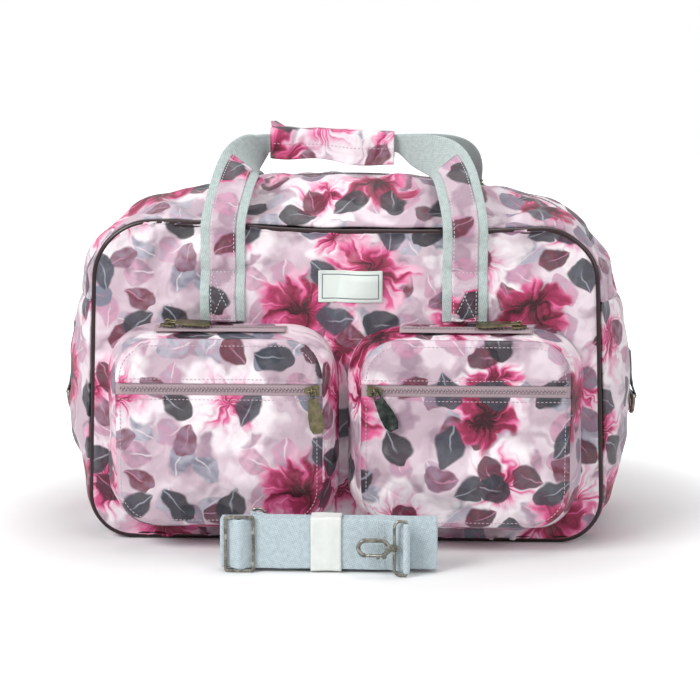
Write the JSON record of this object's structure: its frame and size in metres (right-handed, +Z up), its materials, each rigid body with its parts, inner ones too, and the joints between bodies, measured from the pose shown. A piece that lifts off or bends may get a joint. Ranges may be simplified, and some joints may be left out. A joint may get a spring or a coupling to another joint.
{
  "type": "travel holdall bag",
  "caption": "Soft printed holdall with piped edges, zipped front pockets, webbing handles joined by a wrap, end rings and a folded shoulder strap with snap hooks.",
  "frame": {"origin": "centre of the flat base, on the floor", "axes": "+X to the viewer's right along the bag, -Y out of the front with the pockets, +Z up"},
  "size_m": [0.5446, 0.3492, 0.379],
  "materials": {
    "printed_cloth": "coated cotton with a satin sheen",
    "piping": "glossy coated piping",
    "handle_webbing": "woven webbing",
    "strap_webbing": "woven webbing",
    "zip_tape": "woven tape with a nylon coil",
    "antique_brass": "antique, dark in the recesses",
    "antique_nickel": "antique plated",
    "white_band": "satin ribbon",
    "woven_label": "damask weave",
    "base_board": "matt"
  },
  "bodies": {
    "bag": {"front_panel": "printed_cloth", "back_panel": "printed_cloth", "base_panel": "printed_cloth", "base_board": "base_board", "left_end_panel": "printed_cloth", "right_end_panel": "printed_cloth", "top_strip_front": "printed_cloth", "top_strip_back": "printed_cloth", "main_zip": "zip_tape", "front_piping": "piping", "back_piping": "piping", "left_pocket_gusset": "printed_cloth", "left_pocket_upper_face": "printed_cloth", "left_pocket_lower_face": "printed_cloth", "left_face_zip": "zip_tape", "left_top_zip": "zip_tape", "right_pocket_gusset": "printed_cloth", "right_pocket_upper_face": "printed_cloth", "right_pocket_lower_face": "printed_cloth", "right_face_zip": "zip_tape", "right_top_zip": "zip_tape", "front_handle": "handle_webbing", "front_handle_trim": "printed_cloth", "back_handle": "handle_webbing", "back_handle_trim": "printed_cloth", "handle_wrap": "printed_cloth", "label_patch": "woven_label", "left_ring_tab": "handle_webbing", "right_ring_tab": "handle_webbing", "shoulder_strap": "strap_webbing", "slide_buckle": "antique_nickel", "keeper_band": "white_band", "front_hook_eye": "antique_nickel", "rear_hook_eye": "antique_nickel"},
    "main_slider_left": {"main_slider_left": "antique_brass"},
    "main_pull_left": {"main_pull_left": "antique_brass"},
    "main_slider_right": {"main_slider_right": "antique_brass"},
    "main_pull_right": {"main_pull_right": "antique_brass"},
    "left_d_ring": {"left_d_ring": "antique_nickel"},
    "right_d_ring": {"right_d_ring": "antique_nickel"},
    "front_hook": {"front_hook": "antique_nickel"},
    "front_hook_gate": {"front_hook_gate": "antique_nickel"},
    "rear_hook": {"rear_hook": "antique_nickel"},
    "rear_hook_gate": {"rear_hook_gate": "antique_nickel"},
    "left_face_slider": {"left_face_slider": "antique_brass"},
    "left_face_pull": {"left_face_pull": "antique_brass"},
    "left_top_slider": {"left_top_slider": "antique_brass"},
    "left_top_pull": {"left_top_pull": "antique_brass"},
    "right_face_slider": {"right_face_slider": "antique_brass"},
    "right_face_pull": {"right_face_pull": "antique_brass"},
    "right_top_slider": {"right_top_slider": "antique_brass"},
    "right_top_pull": {"right_top_pull": "antique_brass"}
  },
  "joints": [
    {"name": "main_slider_left_run", "type": "hinge", "parent": "bag", "child": "main_slider_left", "pos_m": [0, 0, -0.37462], "axis": [0, 1, 0], "range_deg": [-21.18, 0]},
    {"name": "main_slider_right_run", "type": "hinge", "parent": "bag", "child": "main_slider_right", "pos_m": [0, 0, -0.37462], "axis": [0, 1, 0], "range_deg": [0, 3.66]},
    {"name": "main_pull_left_lift", "type": "hinge", "parent": "main_slider_left", "child": "main_pull_left", "pos_m": [0.10073, 0, 0.32592], "axis": [0.9898, 0, -0.1423], "range_deg": [0, 120]},
    {"name": "main_pull_right_lift", "type": "hinge", "parent": "main_slider_right", "child": "main_pull_right", "pos_m": [0.11987, 0, 0.32289], "axis": [0.9856, 0, -0.1694], "range_deg": [0, 120]},
    {"name": "left_face_slider_run", "type": "slide", "parent": "bag", "child": "left_face_slider", "axis": [1, 0, 0], "range_m": [-0.15, 0]},
    {"name": "right_face_slider_run", "type": "slide", "parent": "bag", "child": "right_face_slider", "axis": [1, 0, 0], "range_m": [0, 0.15]},
    {"name": "left_face_pull_lift", "type": "hinge", "parent": "left_face_slider", "child": "left_face_pull", "pos_m": [-0.0255, -0.15922, 0.146], "axis": [-0.9903, 0, -0.1392], "range_deg": [0, 150]},
    {"name": "right_face_pull_lift", "type": "hinge", "parent": "right_face_slider", "child": "right_face_pull", "pos_m": [0.029, -0.15922, 0.146], "axis": [-0.891, 0, -0.454], "range_deg": [0, 150]},
    {"name": "left_top_slider_run", "type": "slide", "parent": "bag", "child": "left_top_slider", "axis": [1, 0, 0], "range_m": [0, 0.0928]},
    {"name": "right_top_slider_run", "type": "slide", "parent": "bag", "child": "right_top_slider", "axis": [1, 0, 0], "range_m": [-0.0928, 0]},
    {"name": "left_top_pull_lift", "type": "hinge", "parent": "left_top_slider", "child": "left_top_pull", "pos_m": [-0.1544, -0.13423, 0.20328], "axis": [0, -0.985, -0.1728], "range_deg": [0, 120]},
    {"name": "right_top_pull_lift", "type": "hinge", "parent": "right_top_slider", "child": "right_top_pull", "pos_m": [0.1544, -0.13423, 0.20328], "axis": [0, 0.985, 0.1728], "range_deg": [0, 120]},
    {"name": "left_ring_swing", "type": "hinge", "parent": "bag", "child": "left_d_ring", "pos_m": [-0.2684, 0, 0.12], "axis": [0, 1, 0], "range_deg": [0, 140]},
    {"name": "right_ring_swing", "type": "hinge", "parent": "bag", "child": "right_d_ring", "pos_m": [0.2684, 0, 0.12], "axis": [0, -1, 0], "range_deg": [0, 140]},
    {"name": "front_hook_swivel", "type": "hinge", "parent": "bag", "child": "front_hook", "pos_m": [0.048, -0.227, 0.0244], "axis": [1, 0, 0], "continuous": true},
    {"name": "rear_hook_swivel", "type": "hinge", "parent": "bag", "child": "rear_hook", "pos_m": [-0.064, -0.1868, 0.0244], "axis": [1, 0, 0], "continuous": true},
    {"name": "front_gate_open", "type": "hinge", "parent": "front_hook", "child": "front_hook_gate", "pos_m": [0.0394, -0.227, 0.0179], "axis": [0, 1, 0], "range_deg": [0, 25], "stiffness_Nm_per_rad": 0.004},
    {"name": "rear_gate_open", "type": "hinge", "parent": "rear_hook", "child": "rear_hook_gate", "pos_m": [-0.0554, -0.1868, 0.0179], "axis": [0, -1, 0], "range_deg": [0, 25], "stiffness_Nm_per_rad": 0.004}
  ]
}
